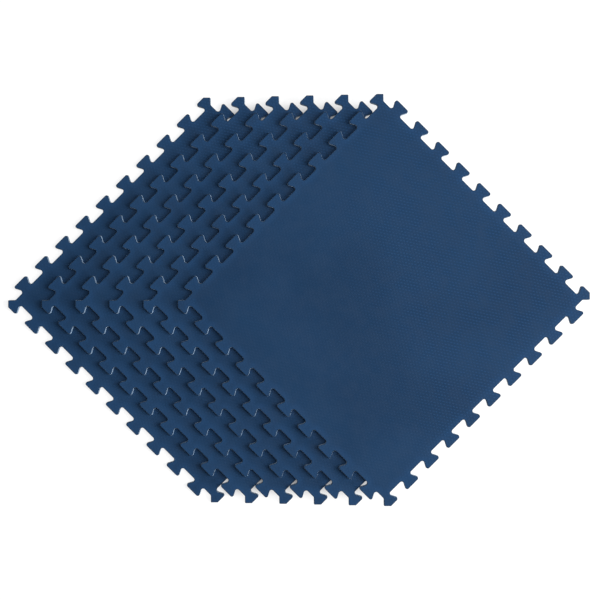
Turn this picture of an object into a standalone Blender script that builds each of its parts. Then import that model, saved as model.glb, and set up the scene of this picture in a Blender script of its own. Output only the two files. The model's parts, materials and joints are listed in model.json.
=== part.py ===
"""Six interlocking foam blocking mats, stacked flat and fanned out along one diagonal.

Metres, +Z up. The floor is Z = 0, the fan is centred on the origin, and the mats lie square to X and Y.
Each mat is one piece of foam with the same outline on all four sides: ten dovetail tabs and ten notches
that fit them, so that any side of a mat locks into any side of another. Each mat rests on the one below
it, moved along +X and +Y by the fan's step, and lifts straight off along +Z.
"""

import math

import bpy
from mathutils import Matrix, Vector

MAT_COUNT = 6
TABS_PER_SIDE = 10

PITCH = 0.06096  # from one tab to the next: laid side by side, the mats repeat every ten pitches
THICKNESS = 0.0127
TAB_DEPTH = 0.36 * PITCH
TAB_END_WIDTH = 0.685 * PITCH  # along the end face, between corners that aren't rounded yet
FIT_GAP = 0.0004  # between a tab and the walls of the notch that it fits
TAB_RADIUS = 0.0045  # at the end and at the root of each tab
CORNER_RADIUS = 0.0015  # on the cut that trims the last tab of a side
ARC_STEP = math.radians(40)  # the most that one chord of an arc turns

FAN_STEP = 0.0516  # from each mat to the next one, along X and along Y
REST_GAP = 0.0003  # between a mat and the one that it lies on

BODY_SIDE = TABS_PER_SIDE * PITCH - TAB_DEPTH - FIT_GAP
TAB_ROOT_WIDTH = PITCH - TAB_END_WIDTH - 2 * FIT_GAP
FIRST_TAB = 0.75 * PITCH - (TAB_DEPTH + FIT_GAP) / 2  # a side fits its own mirror image, half a pitch on

NAVY = (0.030, 0.062, 0.125, 1.0)
FOAM_ROUGHNESS = 0.75


def clear_scene():
    for obj in list(bpy.data.objects):
        bpy.data.objects.remove(obj)


def side_corners():
    """Corners of one side of a mat, from its first body corner on, each with its rounding radius.

    x runs along the side and y runs outwards. The side begins with a notch and ends with a tab that
    passes the body corner. That tab is trimmed by two cuts at 45 degrees, so that where four mats meet
    each one fills a quarter of the square between them.
    """
    half_root = TAB_ROOT_WIDTH / 2
    half_end = TAB_END_WIDTH / 2
    corners = [(Vector((0, 0)), TAB_RADIUS)]
    for tab in range(TABS_PER_SIDE):
        middle = FIRST_TAB + tab * PITCH
        corners.append((Vector((middle - half_root, 0)), TAB_RADIUS))
        corners.append((Vector((middle - half_end, TAB_DEPTH)), TAB_RADIUS))
        if tab < TABS_PER_SIDE - 1:
            corners.append((Vector((middle + half_end, TAB_DEPTH)), TAB_RADIUS))
            corners.append((Vector((middle + half_root, 0)), TAB_RADIUS))
    corners.append((Vector((BODY_SIDE, TAB_DEPTH)), CORNER_RADIUS))
    tip = Vector((BODY_SIDE + (TAB_DEPTH - FIT_GAP) / 2, (TAB_DEPTH + FIT_GAP) / 2))
    corners.append((tip, CORNER_RADIUS))
    return corners


def mat_corners():
    """All corners of a mat's outline, clockwise seen from above, with the mat's centre at zero."""
    start = Vector((-BODY_SIDE / 2, BODY_SIDE / 2))
    corners = []
    for quarter in range(4):
        turned = Matrix.Rotation(-quarter * math.pi / 2, 2)
        corners += [(turned @ (start + point), radius) for point, radius in side_corners()]
    return corners


def arc_points(before, corner, after, radius):
    """Points of the arc that rounds one corner of an outline."""
    arrive = (corner - before).normalized()
    leave = (after - corner).normalized()
    turn = math.atan2(arrive.cross(leave), arrive.dot(leave))
    start = corner - arrive * radius * math.tan(abs(turn) / 2)
    to_centre = Vector((-arrive.y, arrive.x)) * math.copysign(radius, turn)
    steps = max(1, math.ceil(abs(turn) / ARC_STEP))
    return [
        start + to_centre - Matrix.Rotation(turn * step / steps, 2) @ to_centre
        for step in range(steps + 1)
    ]


def mat_outline():
    corners = mat_corners()
    points = []
    for index, (corner, radius) in enumerate(corners):
        before = corners[index - 1][0]
        after = corners[(index + 1) % len(corners)][0]
        points += arc_points(before, corner, after, radius)
    return points


def mat_curve():
    """The flat outline with its caps filled, as thick as the mat, centred on its middle plane."""
    curve = bpy.data.curves.new("mat_outline", "CURVE")
    curve.dimensions = "2D"
    curve.fill_mode = "BOTH"
    curve.extrude = THICKNESS / 2
    outline = mat_outline()
    spline = curve.splines.new("POLY")
    spline.points.add(len(outline) - 1)
    for spline_point, point in zip(spline.points, outline):
        spline_point.co = (point.x, point.y, 0, 1)
    spline.use_cyclic_u = True
    return curve


def foam_material(name):
    material = bpy.data.materials.new(name)
    material.use_nodes = True
    material.diffuse_color = NAVY
    shader = material.node_tree.nodes["Principled BSDF"]
    shader.inputs["Base Color"].default_value = NAVY
    shader.inputs["Roughness"].default_value = FOAM_ROUGHNESS
    shader.inputs["Metallic"].default_value = 0
    return material


def make_mats(collection):
    """The mats from the bottom one up. Each is a child of the mat that it lies on."""
    curve = mat_curve()
    curve.materials.append(None)
    below = None
    for number in range(1, MAT_COUNT + 1):
        mat = bpy.data.objects.new(f"mat_{number}", curve)
        collection.objects.link(mat)
        mat.material_slots[0].link = "OBJECT"
        mat.material_slots[0].material = foam_material(f"mat_{number}_foam")
        if below is None:
            half_fan = FAN_STEP * (MAT_COUNT - 1) / 2
            mat.location = (-half_fan, -half_fan, THICKNESS / 2)
        else:
            mat.parent = below
            mat.location = (FAN_STEP, FAN_STEP, THICKNESS + REST_GAP)
        below = mat


def main():
    clear_scene()
    collection = bpy.data.collections.new("blocking_mats")
    bpy.context.scene.collection.children.link(collection)
    make_mats(collection)


main()
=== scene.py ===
import json
import math

import bpy
import numpy as np
from mathutils import Matrix, Vector, geometry, noise


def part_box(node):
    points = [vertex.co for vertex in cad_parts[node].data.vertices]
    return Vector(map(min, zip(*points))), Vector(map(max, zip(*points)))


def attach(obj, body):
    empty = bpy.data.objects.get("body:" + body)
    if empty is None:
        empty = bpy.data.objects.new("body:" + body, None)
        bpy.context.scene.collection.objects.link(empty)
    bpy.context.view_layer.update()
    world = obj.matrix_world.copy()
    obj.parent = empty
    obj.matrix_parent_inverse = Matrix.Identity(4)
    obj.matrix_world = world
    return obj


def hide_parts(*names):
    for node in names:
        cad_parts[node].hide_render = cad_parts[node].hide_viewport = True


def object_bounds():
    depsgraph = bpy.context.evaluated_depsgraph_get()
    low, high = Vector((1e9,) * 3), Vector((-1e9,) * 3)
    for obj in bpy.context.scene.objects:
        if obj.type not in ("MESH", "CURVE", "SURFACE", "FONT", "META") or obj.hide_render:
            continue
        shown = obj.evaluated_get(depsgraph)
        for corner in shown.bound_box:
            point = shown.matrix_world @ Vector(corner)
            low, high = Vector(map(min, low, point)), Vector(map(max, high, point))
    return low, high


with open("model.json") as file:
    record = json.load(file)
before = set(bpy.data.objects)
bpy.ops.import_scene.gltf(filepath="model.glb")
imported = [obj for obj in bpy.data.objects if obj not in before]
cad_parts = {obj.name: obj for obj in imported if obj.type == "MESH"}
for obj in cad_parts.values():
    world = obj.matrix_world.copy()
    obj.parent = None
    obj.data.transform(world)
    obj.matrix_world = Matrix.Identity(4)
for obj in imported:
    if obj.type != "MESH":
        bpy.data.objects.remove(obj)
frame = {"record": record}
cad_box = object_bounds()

# The jigsaw outline, as in the CAD model but for CORNER_RADIUS, and with finer arcs. Metres.
TABS_PER_SIDE = 10
PITCH = 0.06096
TAB_DEPTH = 0.36 * PITCH
TAB_END_WIDTH = 0.685 * PITCH
FIT_GAP = 0.0004
TAB_RADIUS = 0.0045
CORNER_RADIUS = 0.0018  # 0.3 mm more than in the CAD model, to leave room for RIM_WIDTH
ARC_STEP = math.radians(17)
BODY_SIDE = TABS_PER_SIDE * PITCH - TAB_DEPTH - FIT_GAP
TAB_ROOT_WIDTH = PITCH - TAB_END_WIDTH - 2 * FIT_GAP
FIRST_TAB = 0.75 * PITCH - (TAB_DEPTH + FIT_GAP) / 2

# The cut edge: both rims are rolled over. The wall between them leans out towards the floor and is hollow.
TOP_ROLL = 0.0006
BOTTOM_ROLL = 0.0006
ROLL_STEPS = 4
WALL_LEAN = 0.0005
WALL_HOLLOW = 0.00025
WALL_STEPS = 4
RIM_WIDTH = 0.0015  # from the outline to the first points of the flat skin, less than CORNER_RADIUS
SKIN_STEPS = 2  # steps of the top roll that the skin still covers
SKIN_SLOT, CUT_SLOT, UNDERSIDE_SLOT = 0, 1, 2

# Points inside the skin: EDGE_STEP apart up to EDGE_BAND from the rim, GRID_STEP apart further in
EDGE_STEP = 0.0045
EDGE_BAND = 0.009
GRID_STEP = 0.0135
GRID_MARGIN = 0.0026  # from the rim to the nearest point
SWELL = 0.00011  # how far the top skin rises and falls
SWELL_LENGTH = 0.11
SWELL_OFFSET = 0.4 * SWELL  # how far the skins' mean level is set into the foam
UNDER_SWELL = 0.4  # the underside's unevenness as a share of the top's

# The embossed grains of the top skin, in staggered rows
GRAIN_CELL = (0.01156, 0.0073)
GRAIN_TILT = math.radians(31)
GRAIN_SIZE = (0.0031, 0.0015)
GRAIN_DEPTH = 0.0003
GRAIN_SLANT = 0.5  # the grains grow deeper and paler with y + GRAIN_SLANT * x, over GRAIN_SPAN; the paler part is a painted highlight that grows towards that side
GRAIN_SPAN = (-0.16, 0.12)
LEAST_DEPTH = 0.5  # where they are shallowest, as shares of GRAIN_DEPTH and of their painted highlight
LEAST_PALE = 0.3

# Bands of the top skin, each as the distances from the outline where it begins and where it is full
GRAIN_BAND = (0.0015, 0.0045)
# painted highlight: the skin is painted paler along the edge, within this band
EDGE_HIGHLIGHT_BAND = (0.0190, 0.0030)
# painted shade: the rolled rim is painted darker within this band
RIM_SHADE_BAND = (0.0019, 0.0010)

RIB_PERIOD = 0.0035
RIB_FLANK = (0.35, 0.8)
RIB_DEPTH = 0.0003
CELL_DEPTH = 0.0002

NAVY = (0.0035, 0.0281, 0.0780)
SHEEN_CLOUD_NAVY = (0.0049, 0.0310, 0.0830)  # in the paler clouds: a random paler tone that is also a painted sheen
PAINTED_HIGHLIGHT_NAVY = (0.0105, 0.0500, 0.1340)  # painted highlight, on the grains and along the edges
RIM_SHADE_NAVY = (0.0014, 0.01124, 0.0312)  # painted shade on the rolled rim
CUT_FOAM = (0.290, 0.415, 0.570)
UNDERSIDE = (0.013, 0.038, 0.085)

# Camera and light
VIEW_WIDTH = 1.2660  # what the frame holds at the middle of the stack
VIEW_SHIFT = 0.0060
CAMERA_HEIGHT = 3.6  # above the middle of the stack
SENSOR = 36.0
LAMP_DISTANCE = 5.2
LAMPS = (  # name, degrees from +X, degrees above the floor, diameter, watts
    ("key_high", 47, 60, 2.8, 98.0),
    ("key", 46, 42, 2.6, 130.0),
    ("low_side", 14, 23, 2.0, 160.0),
    ("top_fill", 73, 82, 1.6, 95.0),
)
SURROUND = 0.18

# The backdrop: a floor that curves up all round, out of the lamps' way
COVE_FLAT = 7.0
COVE_RISE = 4.0
COVE_STEPS = 12
COVE_SIDES = 64
FLOOR_GREY = 0.25
FLOOR_GLOW = 0.79
FLOOR_GAP = 0.0005  # below the lowest mat
# The floor glows less under the fan, a painted shadow there. The glow sets in with |y - x|, and with the
# larger of |x| and |y|.
GLOW_ACROSS = (0.518, 0.604)
GLOW_REACH = (0.32, 0.425)


def side_corners():
    """Corners of one side, from its first body corner on, with their radii: x along it, y outwards."""
    half_root = TAB_ROOT_WIDTH / 2
    half_end = TAB_END_WIDTH / 2
    corners = [(Vector((0, 0)), TAB_RADIUS)]
    for tab in range(TABS_PER_SIDE):
        middle = FIRST_TAB + tab * PITCH
        corners.append((Vector((middle - half_root, 0)), TAB_RADIUS))
        corners.append((Vector((middle - half_end, TAB_DEPTH)), TAB_RADIUS))
        if tab < TABS_PER_SIDE - 1:
            corners.append((Vector((middle + half_end, TAB_DEPTH)), TAB_RADIUS))
            corners.append((Vector((middle + half_root, 0)), TAB_RADIUS))
    corners.append((Vector((BODY_SIDE, TAB_DEPTH)), CORNER_RADIUS))
    tip = Vector((BODY_SIDE + (TAB_DEPTH - FIT_GAP) / 2, (TAB_DEPTH + FIT_GAP) / 2))
    corners.append((tip, CORNER_RADIUS))
    return corners


def arc_points(before, corner, after, radius):
    arrive = (corner - before).normalized()
    leave = (after - corner).normalized()
    turn = math.atan2(arrive.cross(leave), arrive.dot(leave))
    start = corner - arrive * radius * math.tan(abs(turn) / 2)
    to_centre = Vector((-arrive.y, arrive.x)) * math.copysign(radius, turn)
    steps = max(1, math.ceil(abs(turn) / ARC_STEP))
    return [
        start + to_centre - Matrix.Rotation(turn * step / steps, 2) @ to_centre
        for step in range(steps + 1)
    ]


def mat_outline():
    """The outline as an array of points, anticlockwise seen from above, centred on zero."""
    start = Vector((-BODY_SIDE / 2, BODY_SIDE / 2))
    corners = []
    for quarter in range(4):
        turned = Matrix.Rotation(-quarter * math.pi / 2, 2)
        corners += [(turned @ (start + point), radius) for point, radius in side_corners()]
    points = []
    for index, (corner, radius) in enumerate(corners):
        before = corners[index - 1][0]
        after = corners[(index + 1) % len(corners)][0]
        points += arc_points(before, corner, after, radius)
    return np.array(points)[::-1]


def outward_normals(outline):
    """At each point, the direction that moves both edges that meet there outwards by one unit."""
    ahead = np.roll(outline, -1, axis=0) - outline
    ahead /= np.linalg.norm(ahead, axis=1)[:, None]
    side = np.stack([ahead[:, 1], -ahead[:, 0]], axis=1)
    mean = side + np.roll(side, 1, axis=0)
    return 2 * mean / (mean ** 2).sum(axis=1)[:, None]


def edge_profile(thickness):
    """(inset, height) of the rings that make a mat's edge, from the rim of its underside up and over."""
    rings = [(RIM_WIDTH, 0.0)]
    for step in range(ROLL_STEPS + 1):
        angle = math.pi / 2 * step / ROLL_STEPS
        rings.append((BOTTOM_ROLL * (1 - math.sin(angle)), BOTTOM_ROLL * (1 - math.cos(angle))))
    low, high = BOTTOM_ROLL, thickness - TOP_ROLL
    for step in range(1, WALL_STEPS):
        share = step / WALL_STEPS
        inset = WALL_LEAN * share + WALL_HOLLOW * math.sin(math.pi * share)
        rings.append((inset, low + (high - low) * share))
    for step in range(ROLL_STEPS + 1):
        angle = math.pi / 2 * step / ROLL_STEPS
        inset = WALL_LEAN + TOP_ROLL * (1 - math.cos(angle))
        rings.append((inset, thickness - TOP_ROLL * (1 - math.sin(angle))))
    rings.append((RIM_WIDTH, thickness))
    return rings


def staggered_grid(step):
    reach = BODY_SIDE / 2 + TAB_DEPTH
    steps = np.arange(-reach, reach, step)
    x, y = np.meshgrid(steps, steps)
    x[::2] += step / 2
    return np.stack([x.ravel(), y.ravel()], axis=1)


def are_inside(points, rim):
    inside = np.zeros(len(points), bool)
    for (ax, ay), (bx, by) in zip(rim, np.roll(rim, -1, axis=0)):
        if ay != by:
            crosses = (ay > points[:, 1]) != (by > points[:, 1])
            inside ^= crosses & (points[:, 0] < (bx - ax) * (points[:, 1] - ay) / (by - ay) + ax)
    return inside


def distance_to(rim, points):
    along = np.roll(rim, -1, axis=0) - rim
    squares = (along ** 2).sum(axis=1)
    nearest = np.empty(len(points))
    for index, point in enumerate(points):
        share = (((point - rim) * along).sum(axis=1) / squares).clip(0, 1)
        off = rim + along * share[:, None] - point
        nearest[index] = math.sqrt((off ** 2).sum(axis=1).min())
    return nearest


def inner_points(rim):
    """Points inside the rim and clear of it, and how far each one is from it."""
    points, gaps = [], []
    for step, closest, furthest in ((EDGE_STEP, GRID_MARGIN, EDGE_BAND), (GRID_STEP, EDGE_BAND, math.inf)):
        grid = staggered_grid(step)
        grid = grid[are_inside(grid, rim)]
        gap = distance_to(rim, grid)
        wanted = (gap > closest) & (gap <= furthest)
        points.append(grid[wanted])
        gaps.append(gap[wanted])
    return np.vstack(points), np.concatenate(gaps)


def skin_triangles(rim, inner):
    """Triangles that fill the rim, through the inner points. The rim's points come first."""
    points = [Vector(p) for p in np.vstack([rim, inner])]
    count = len(rim)
    edges = [(i, (i + 1) % count) for i in range(count)]
    filled = geometry.delaunay_2d_cdt(points, edges, [], 1, 1e-7)
    if len(filled[0]) != len(points):
        raise ValueError("the rim and the grid have points that coincide")
    source = [origin[0] for origin in filled[3]]
    return [tuple(source[i] for i in face) for face in filled[2]]


def swell(points, number, side):
    """How far the skin of one mat rises at each point, a gentle unevenness of the sheet."""
    shift = Vector((3.1 * number, 7.7 * side, 0.5))
    return np.array([
        SWELL * noise.noise(Vector((x / SWELL_LENGTH, y / SWELL_LENGTH, 0)) + shift)
        for x, y in points
    ])


class MatShape:
    """The parts of a mat's mesh that all mats share."""

    def __init__(self, thickness):
        self.thickness = thickness
        self.outline = mat_outline()
        self.normals = outward_normals(self.outline)
        self.rings = edge_profile(thickness)
        rim = self.outline - self.normals * RIM_WIDTH
        self.inner, self.gaps = inner_points(rim)
        self.faces, self.slots = [], []
        self.add_edge()
        self.add_skins(skin_triangles(rim, self.inner))

    def add_edge(self):
        """The faces between the rings, from the underside's rim up the wall and over to the top's rim."""
        count = len(self.outline)
        last = len(self.rings) - 1
        for ring in range(last):
            low, high = ring * count, (ring + 1) * count
            self.faces += [
                (low + i, low + (i + 1) % count, high + (i + 1) % count, high + i)
                for i in range(count)
            ]
            if ring == 0:
                slot = UNDERSIDE_SLOT
            elif ring >= last - 1 - SKIN_STEPS:
                slot = SKIN_SLOT
            else:
                slot = CUT_SLOT
            self.slots += [slot] * count

    def add_skins(self, triangles):
        """The underside and the top. The triangles number the rim's points first, then the inner ones."""
        count = len(self.outline)
        top_rim = (len(self.rings) - 1) * count
        under_start = len(self.rings) * count
        top_start = under_start + len(self.inner)
        for face in triangles:
            below = [i if i < count else under_start + i - count for i in face]
            above = [top_rim + i if i < count else top_start + i - count for i in face]
            self.faces += [tuple(reversed(below)), tuple(above)]
            self.slots += [UNDERSIDE_SLOT, SKIN_SLOT]

    def mesh(self, number):
        count = len(self.outline)
        points = [
            np.column_stack([self.outline - self.normals * inset, np.full(count, height)])
            for inset, height in self.rings
        ]
        under = SWELL_OFFSET + UNDER_SWELL * swell(self.inner, number, 0)
        top = self.thickness - SWELL_OFFSET + swell(self.inner, number, 1)
        points += [np.column_stack([self.inner, under]), np.column_stack([self.inner, top])]
        mesh = bpy.data.meshes.new(f"mat_{number}_foam")
        mesh.from_pydata(np.vstack(points).tolist(), [], self.faces)
        mesh.polygons.foreach_set("material_index", self.slots)
        mesh.shade_smooth()
        distances = [np.full(count, inset) for inset, _ in self.rings] + [self.gaps + RIM_WIDTH] * 2
        attribute = mesh.attributes.new("edge_distance", "FLOAT", "POINT")
        attribute.data.foreach_set("value", np.concatenate(distances).astype(np.float32))
        return mesh


class Graph:
    """Short ways to add shader nodes to one material."""

    def __init__(self, name):
        self.material = bpy.data.materials.new(name)
        self.material.use_nodes = True
        self.tree = self.material.node_tree
        self.shader = self.tree.nodes["Principled BSDF"]

    def add(self, kind, **settings):
        node = self.tree.nodes.new(kind)
        for key, value in settings.items():
            setattr(node, key, value)
        return node

    def link(self, source, target):
        if isinstance(source, (int, float)):
            target.default_value = source
        elif isinstance(source, tuple):
            target.default_value = (*source, 1.0)
        else:
            self.tree.links.new(source, target)

    def place(self):
        """The point in the object's own frame, and its x and y."""
        place = self.add("ShaderNodeTexCoord").outputs["Object"]
        split = self.add("ShaderNodeSeparateXYZ")
        self.link(place, split.inputs[0])
        return place, split.outputs["X"], split.outputs["Y"]

    def maths(self, operation, *values):
        node = self.add("ShaderNodeMath", operation=operation)
        for value, socket in zip(values, node.inputs):
            self.link(value, socket)
        return node.outputs[0]

    def remap(self, value, low, high, new_low=0.0, new_high=1.0):
        node = self.add("ShaderNodeMapRange", clamp=True, interpolation_type="SMOOTHSTEP")
        for socket, number in zip(node.inputs, (value, low, high, new_low, new_high)):
            self.link(number, socket)
        return node.outputs[0]

    def noise(self, place, scale, detail, roughness=0.55):
        node = self.add("ShaderNodeTexNoise", noise_dimensions="3D")
        self.link(place, node.inputs["Vector"])
        node.inputs["Scale"].default_value = scale
        node.inputs["Detail"].default_value = detail
        node.inputs["Roughness"].default_value = roughness
        return node.outputs["Fac"]

    def cells(self, place, scale):
        node = self.add("ShaderNodeTexVoronoi")
        self.link(place, node.inputs["Vector"])
        node.inputs["Scale"].default_value = scale
        return node.outputs["Distance"]

    def bump(self, height, distance):
        node = self.add("ShaderNodeBump")
        node.inputs["Distance"].default_value = distance
        self.link(height, node.inputs["Height"])
        self.link(node.outputs[0], self.shader.inputs["Normal"])

    def mix(self, share, first, second):
        node = self.add("ShaderNodeMix", data_type="RGBA")
        self.link(share, node.inputs[0])
        self.link(first, node.inputs[6])
        self.link(second, node.inputs[7])
        return node.outputs[2]


def grains(graph, x, y, shift):
    """Height of one lattice of embossed grains, shifted by a share of its cell.

    A grain is a long lens, and its length is tilted from +X.
    """
    cell_x, cell_y = GRAIN_CELL
    length, width = GRAIN_SIZE
    local_x = graph.maths("WRAP", graph.maths("ADD", x, shift * cell_x), cell_x / 2, -cell_x / 2)
    local_y = graph.maths("WRAP", graph.maths("ADD", y, shift * cell_y), cell_y / 2, -cell_y / 2)
    along = graph.maths(
        "ADD",
        graph.maths("MULTIPLY", local_x, math.cos(GRAIN_TILT)),
        graph.maths("MULTIPLY", local_y, math.sin(GRAIN_TILT)),
    )
    across = graph.maths(
        "SUBTRACT",
        graph.maths("MULTIPLY", local_y, math.cos(GRAIN_TILT)),
        graph.maths("MULTIPLY", local_x, math.sin(GRAIN_TILT)),
    )
    square = graph.maths(
        "ADD",
        graph.maths("POWER", graph.maths("DIVIDE", along, length), 2.0),
        graph.maths("POWER", graph.maths("DIVIDE", across, width), 2.0),
    )
    return graph.remap(square, 1.2, 0.1)


def scaled(colour, factor):
    return tuple(factor * channel for channel in colour)


def skin_material(number):
    """The heat-pressed top skin: embossed grains that fade out at the rim and are painted paler as a
    highlight, faint paler clouds that are partly a painted sheen, a painted highlight along the edge and
    painted shade on the rolled rim.
    """
    graph = Graph(f"mat_{number}_skin")
    place, x, y = graph.place()
    edge = graph.add("ShaderNodeAttribute", attribute_name="edge_distance").outputs["Fac"]

    relief = graph.maths("MAXIMUM", grains(graph, x, y, 0.0), grains(graph, x, y, 0.5))
    relief = graph.maths("MULTIPLY", relief, graph.remap(edge, *GRAIN_BAND))
    across = graph.maths("ADD", y, graph.maths("MULTIPLY", x, GRAIN_SLANT))
    relief = graph.maths("MULTIPLY", relief, graph.remap(across, *GRAIN_SPAN, LEAST_DEPTH, 1.0))

    shifted = graph.add("ShaderNodeMapping")
    graph.link(place, shifted.inputs["Vector"])
    shifted.inputs["Location"].default_value = (0.35 * number, 1.2 * number, 0)
    own_place = shifted.outputs[0]
    cloud = graph.noise(own_place, 3.6, detail=2.0)
    patches = graph.noise(own_place, 38.0, detail=5.0, roughness=0.65)
    fine = graph.noise(place, 900.0, detail=2.0)

    # paler clouds: random tone, and a painted sheen
    colour = graph.mix(graph.remap(cloud, 0.35, 0.65), scaled(NAVY, 0.90), SHEEN_CLOUD_NAVY)
    # painted highlight on the grains, stronger towards one side
    grain_highlight = graph.maths("MULTIPLY", relief, graph.remap(across, *GRAIN_SPAN, LEAST_PALE, 1.0))
    grain_highlight = graph.maths("MULTIPLY", grain_highlight, graph.remap(patches, 0.30, 0.70, 0.25, 0.70))
    colour = graph.mix(grain_highlight, colour, PAINTED_HIGHLIGHT_NAVY)
    # painted highlight along the edge, patchy
    uneven = graph.remap(patches, 0.30, 0.62, 0.3, 1.0)
    edge_highlight = graph.maths("MULTIPLY", graph.remap(edge, *EDGE_HIGHLIGHT_BAND), uneven)
    colour = graph.mix(graph.maths("MULTIPLY", edge_highlight, 0.40), colour, PAINTED_HIGHLIGHT_NAVY)
    # painted shade on the rolled rim
    colour = graph.mix(graph.remap(edge, *RIM_SHADE_BAND), colour, RIM_SHADE_NAVY)
    graph.link(colour, graph.shader.inputs["Base Color"])

    height = graph.maths("ADD", relief, graph.maths("MULTIPLY", fine, 0.12))
    graph.bump(height, GRAIN_DEPTH)
    rough = graph.remap(patches, 0.3, 0.7, 0.60, 0.72)
    rough = graph.maths("SUBTRACT", rough, graph.maths("MULTIPLY", relief, 0.05))
    graph.link(rough, graph.shader.inputs["Roughness"])
    graph.shader.inputs["Specular IOR Level"].default_value = 0.15
    graph.shader.inputs["Sheen Weight"].default_value = 0.04
    graph.shader.inputs["Sheen Roughness"].default_value = 0.5
    graph.shader.inputs["Sheen Tint"].default_value = (0.5, 0.75, 1.0, 1.0)
    return graph.material


def cut_material():
    """The die-cut edge: opened cells, paler than the skin, with faint lines drawn by the blade."""
    graph = Graph("cut_foam")
    place = graph.add("ShaderNodeTexCoord").outputs["Object"]
    cells = graph.cells(place, 900.0)
    stretched = graph.add("ShaderNodeMapping")
    graph.link(place, stretched.inputs["Vector"])
    stretched.inputs["Scale"].default_value = (1, 1, 0.12)
    drawn = graph.noise(stretched.outputs[0], 700.0, detail=2.0)
    patches = graph.noise(place, 55.0, detail=4.0)

    colour = graph.mix(graph.remap(cells, 0.1, 0.7), scaled(CUT_FOAM, 1.1), scaled(CUT_FOAM, 0.78))
    colour = graph.mix(graph.remap(patches, 0.35, 0.65, 0.0, 0.25), colour, scaled(CUT_FOAM, 0.7))
    graph.link(colour, graph.shader.inputs["Base Color"])
    height = graph.maths("ADD", cells, graph.maths("MULTIPLY", drawn, 0.6))
    graph.bump(height, CELL_DEPTH)
    graph.link(graph.remap(patches, 0.3, 0.7, 0.72, 0.86), graph.shader.inputs["Roughness"])
    graph.shader.inputs["Specular IOR Level"].default_value = 0.25
    graph.shader.inputs["Sheen Weight"].default_value = 0.1
    graph.shader.inputs["Sheen Roughness"].default_value = 0.4
    graph.shader.inputs["Sheen Tint"].default_value = (0.65, 0.82, 1.0, 1.0)
    return graph.material


def underside_material():
    """The underside: crossed fine ribs against slipping. The photograph doesn't show it."""
    graph = Graph("ribbed_underside")
    place, x, y = graph.place()
    ribs = []
    for direction in (x, y):
        wave = graph.maths("SINE", graph.maths("MULTIPLY", direction, math.pi / RIB_PERIOD))
        ribs.append(graph.remap(graph.maths("ABSOLUTE", wave), *RIB_FLANK))
    relief = graph.maths("MAXIMUM", *ribs)
    patches = graph.noise(place, 30.0, detail=4.0)
    colour = graph.mix(graph.remap(patches, 0.3, 0.7), scaled(UNDERSIDE, 0.88), scaled(UNDERSIDE, 1.1))
    colour = graph.mix(graph.maths("MULTIPLY", relief, 0.4), colour, scaled(UNDERSIDE, 1.35))
    graph.link(colour, graph.shader.inputs["Base Color"])
    graph.bump(relief, RIB_DEPTH)
    graph.link(graph.remap(patches, 0.3, 0.7, 0.7, 0.82), graph.shader.inputs["Roughness"])
    graph.shader.inputs["Specular IOR Level"].default_value = 0.25
    return graph.material


def make_mats():
    low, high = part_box("mat_1")
    shape = MatShape(high.z - low.z)
    cut, underside = cut_material(), underside_material()
    for body in frame["record"]["behaviour"]["bodies"]:
        number = int(body.split("_")[1])
        low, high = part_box(body)
        mesh = shape.mesh(number)
        for material in (skin_material(number), cut, underside):
            mesh.materials.append(material)
        mat = bpy.data.objects.new(f"mat_{number}_foam", mesh)
        bpy.context.scene.collection.objects.link(mat)
        mat.location = ((low.x + high.x) / 2, (low.y + high.y) / 2, low.z)
        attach(mat, body)
        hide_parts(body)


def backdrop_material():
    """A floor that glows softly to keep shadows faint, and less under the fan than around it, which paints
    a shadow under the fan.
    """
    graph = Graph("pale_backdrop")
    _, x, y = graph.place()
    across = graph.maths("ABSOLUTE", graph.maths("SUBTRACT", y, x))
    reach = graph.maths("MAXIMUM", graph.maths("ABSOLUTE", x), graph.maths("ABSOLUTE", y))
    # painted shadow: the glow fades out under the fan
    outside_painted_shadow = graph.maths("MAXIMUM", graph.remap(across, *GLOW_ACROSS), graph.remap(reach, *GLOW_REACH))
    graph.link(graph.maths("MULTIPLY", outside_painted_shadow, FLOOR_GLOW), graph.shader.inputs["Emission Strength"])
    graph.shader.inputs["Emission Color"].default_value = (1, 1, 1, 1)
    graph.shader.inputs["Base Color"].default_value = (FLOOR_GREY, FLOOR_GREY, FLOOR_GREY, 1)
    graph.shader.inputs["Roughness"].default_value = 0.9
    graph.shader.inputs["Specular IOR Level"].default_value = 0.0
    return graph.material


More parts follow.
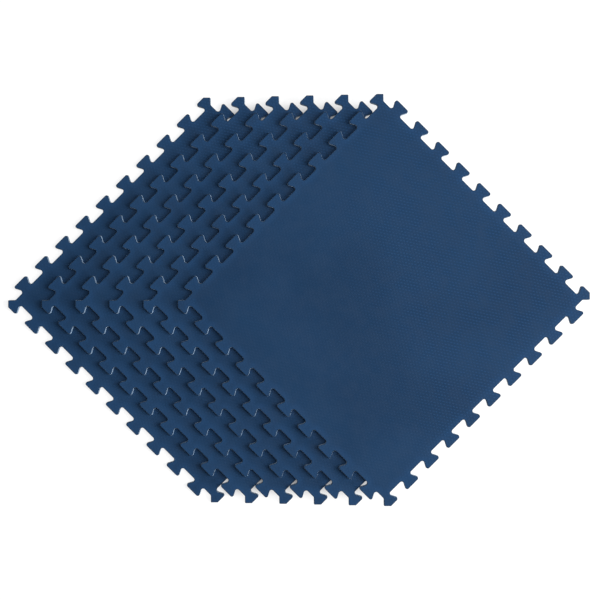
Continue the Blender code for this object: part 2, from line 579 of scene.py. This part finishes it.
def make_backdrop():
    """A pale floor that curves up all round. The camera sees it. It neither lights nor shades the mats."""
    middle = (cad_box[0] + cad_box[1]) / 2
    profile = [(0.5 * COVE_FLAT, 0.0)]
    for step in range(COVE_STEPS + 1):
        angle = math.pi / 2 * step / COVE_STEPS
        profile.append((COVE_FLAT + COVE_RISE * math.sin(angle), COVE_RISE * (1 - math.cos(angle))))
    profile.append((COVE_FLAT + COVE_RISE, 2 * COVE_RISE))
    points = [(0, 0, 0)]
    for radius, height in profile:
        for side in range(COVE_SIDES):
            angle = 2 * math.pi * side / COVE_SIDES
            points.append((radius * math.cos(angle), radius * math.sin(angle), height))
    faces = [(0, 1 + side, 1 + (side + 1) % COVE_SIDES) for side in range(COVE_SIDES)]
    for ring in range(len(profile) - 1):
        low, high = 1 + ring * COVE_SIDES, 1 + (ring + 1) * COVE_SIDES
        for side in range(COVE_SIDES):
            after = (side + 1) % COVE_SIDES
            faces.append((low + side, high + side, high + after, low + after))
    mesh = bpy.data.meshes.new("backdrop")
    mesh.from_pydata(points, [], faces)
    mesh.shade_smooth()
    backdrop = bpy.data.objects.new("backdrop", mesh)
    backdrop.location = (middle.x, middle.y, cad_box[0].z - FLOOR_GAP)
    backdrop.visible_diffuse = False
    backdrop.visible_glossy = False
    backdrop.visible_shadow = False
    bpy.context.scene.collection.objects.link(backdrop)
    mesh.materials.append(backdrop_material())


def light_the_scene():
    """Soft lamps aimed at the fan, mostly from the top mat's side, and a dim white surround."""
    middle = (cad_box[0] + cad_box[1]) / 2
    for name, azimuth, elevation, diameter, watts in LAMPS:
        light = bpy.data.lights.new(name, "AREA")
        light.shape = "DISK"
        light.size = diameter
        light.energy = watts
        lamp = bpy.data.objects.new(name, light)
        lamp.visible_camera = False
        bpy.context.scene.collection.objects.link(lamp)
        turn, rise = math.radians(azimuth), math.radians(elevation)
        flat = math.cos(rise)
        away = Vector((flat * math.cos(turn), flat * math.sin(turn), math.sin(rise)))
        lamp.location = middle + LAMP_DISTANCE * away
        lamp.rotation_euler = away.to_track_quat("Z", "Y").to_euler()
    world = bpy.data.worlds.new("surround")
    world.use_nodes = True
    world.node_tree.nodes["Background"].inputs["Color"].default_value = (1, 1, 1, 1)
    world.node_tree.nodes["Background"].inputs["Strength"].default_value = SURROUND
    bpy.context.scene.world = world
    bpy.context.scene.view_settings.view_transform = "Standard"


def make_camera():
    """Straight above the fan, turned so that the fan opens to the right."""
    camera = bpy.data.objects.new("camera", bpy.data.cameras.new("camera"))
    bpy.context.scene.collection.objects.link(camera)
    middle = (cad_box[0] + cad_box[1]) / 2
    camera.location = (middle.x, middle.y, middle.z + CAMERA_HEIGHT)
    camera.rotation_euler = (0, 0, math.pi / 4)
    camera.data.sensor_width = SENSOR
    camera.data.lens = SENSOR * CAMERA_HEIGHT / VIEW_WIDTH
    camera.data.shift_x = VIEW_SHIFT
    bpy.context.scene.camera = camera


make_camera()
make_mats()
make_backdrop()
light_the_scene()
